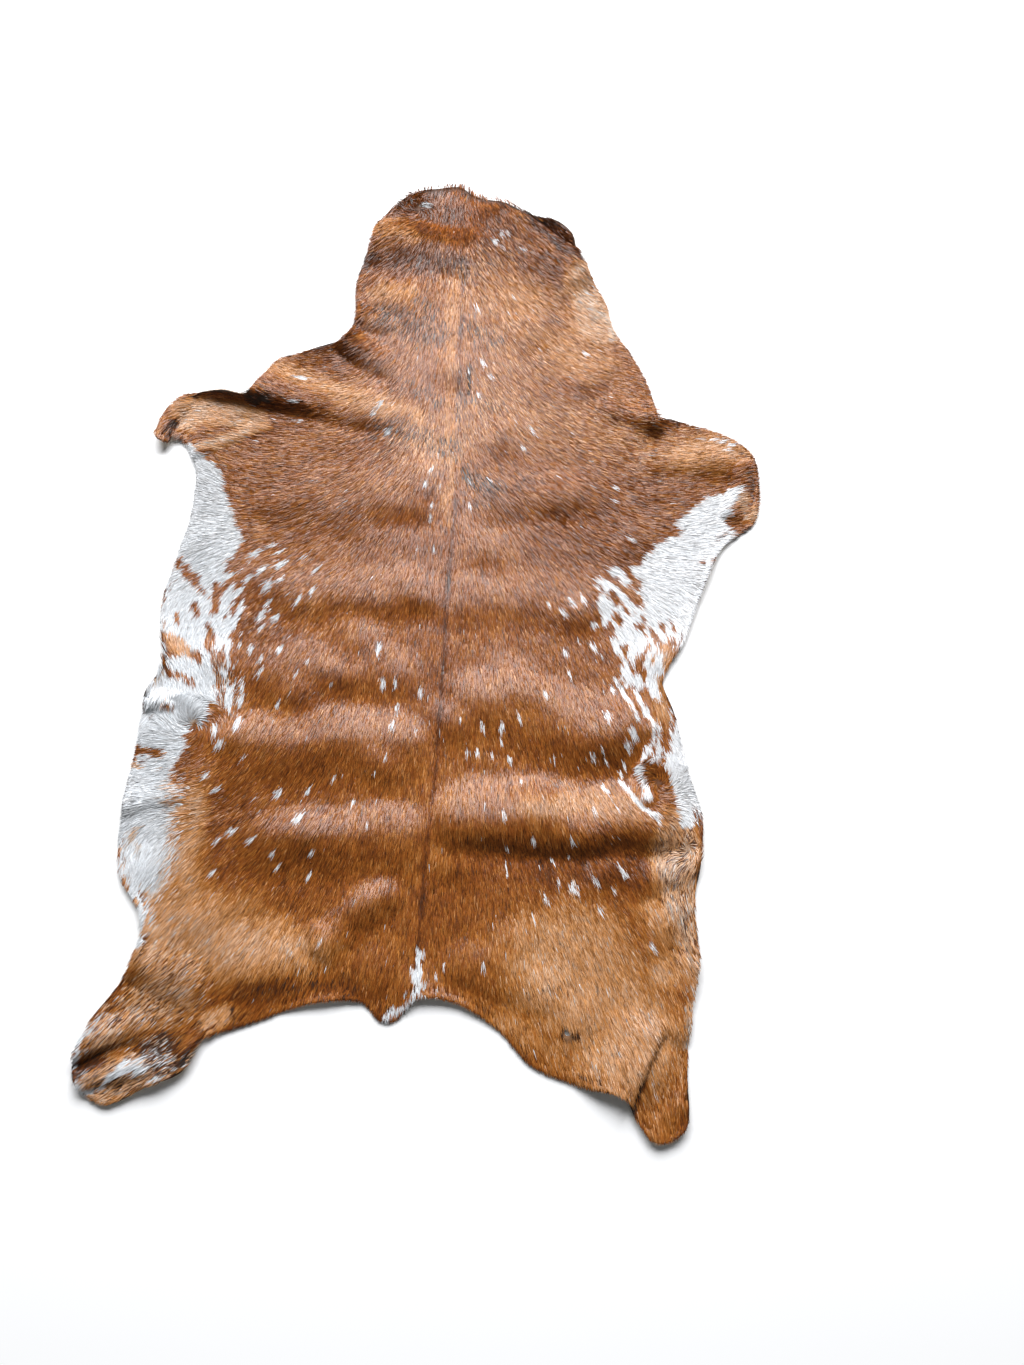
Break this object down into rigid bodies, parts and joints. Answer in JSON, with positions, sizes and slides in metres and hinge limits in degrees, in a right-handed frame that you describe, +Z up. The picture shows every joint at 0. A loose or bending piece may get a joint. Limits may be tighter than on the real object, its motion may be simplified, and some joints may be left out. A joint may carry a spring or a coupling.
{
  "type": "goatskin",
  "caption": "Tanned goatskin with its short hair left on, the whole skin in one piece with neck, legs and tail stub, laid out with soft cross folds.",
  "frame": {"origin": "on the floor under the back line, midway between the fore legs and the hind legs, where the skin lies flat", "axes": "+Y along the back towards the neck, +X to the right seen from above with the neck at the top, +Z up out of the hair side"},
  "size_m": [0.6679, 1.0241, 0.0294],
  "materials": {
    "goatskin": "short glossy ginger-brown hair with white patches, suede flesh side beneath"
  },
  "bodies": {
    "root": {"goatskin": "goatskin"}
  },
  "joints": []
}
